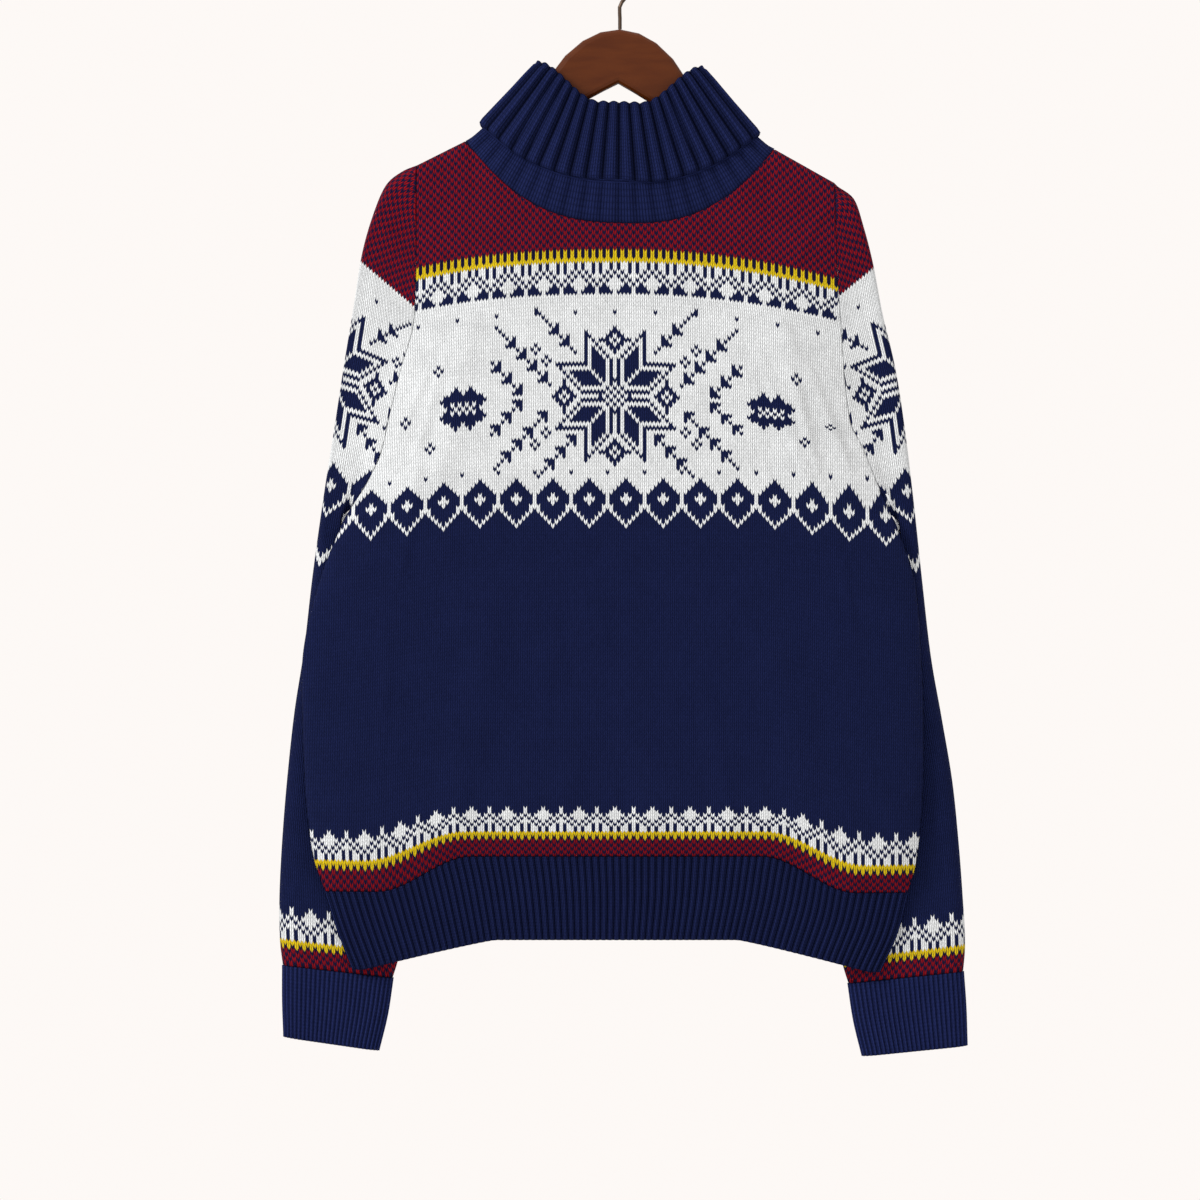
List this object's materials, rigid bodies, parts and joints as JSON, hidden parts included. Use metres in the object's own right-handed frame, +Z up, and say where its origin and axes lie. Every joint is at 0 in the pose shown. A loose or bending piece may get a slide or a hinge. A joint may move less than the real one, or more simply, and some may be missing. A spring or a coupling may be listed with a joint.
{
  "type": "fair isle jumper on a wooden hanger",
  "caption": "Knitted roll-neck jumper with long sleeves, hung flat on a wooden hanger with a wire hook; neck, hem and cuffs are open.",
  "frame": {"origin": "the rest point inside the top of the hanger's hook", "axes": "+Z up; -Y is the front of the jumper; +X is to the viewer's right, the wearer's left side"},
  "size_m": [0.5526, 0.0594, 0.8974],
  "materials": {
    "knit": "heavy wool knit in navy, white, red and yellow",
    "varnished_wood": "red-brown satin varnish",
    "dark_wire": "dark bronze"
  },
  "bodies": {
    "root": {"front_panel": "knit", "back_panel": "knit", "right_sleeve": "knit", "left_sleeve": "knit", "right_cuff": "knit", "left_cuff": "knit", "front_hem_rib": "knit", "back_hem_rib": "knit", "roll_collar": "knit", "hanger_wood": "varnished_wood", "hanger_hook": "dark_wire"}
  },
  "joints": []
}
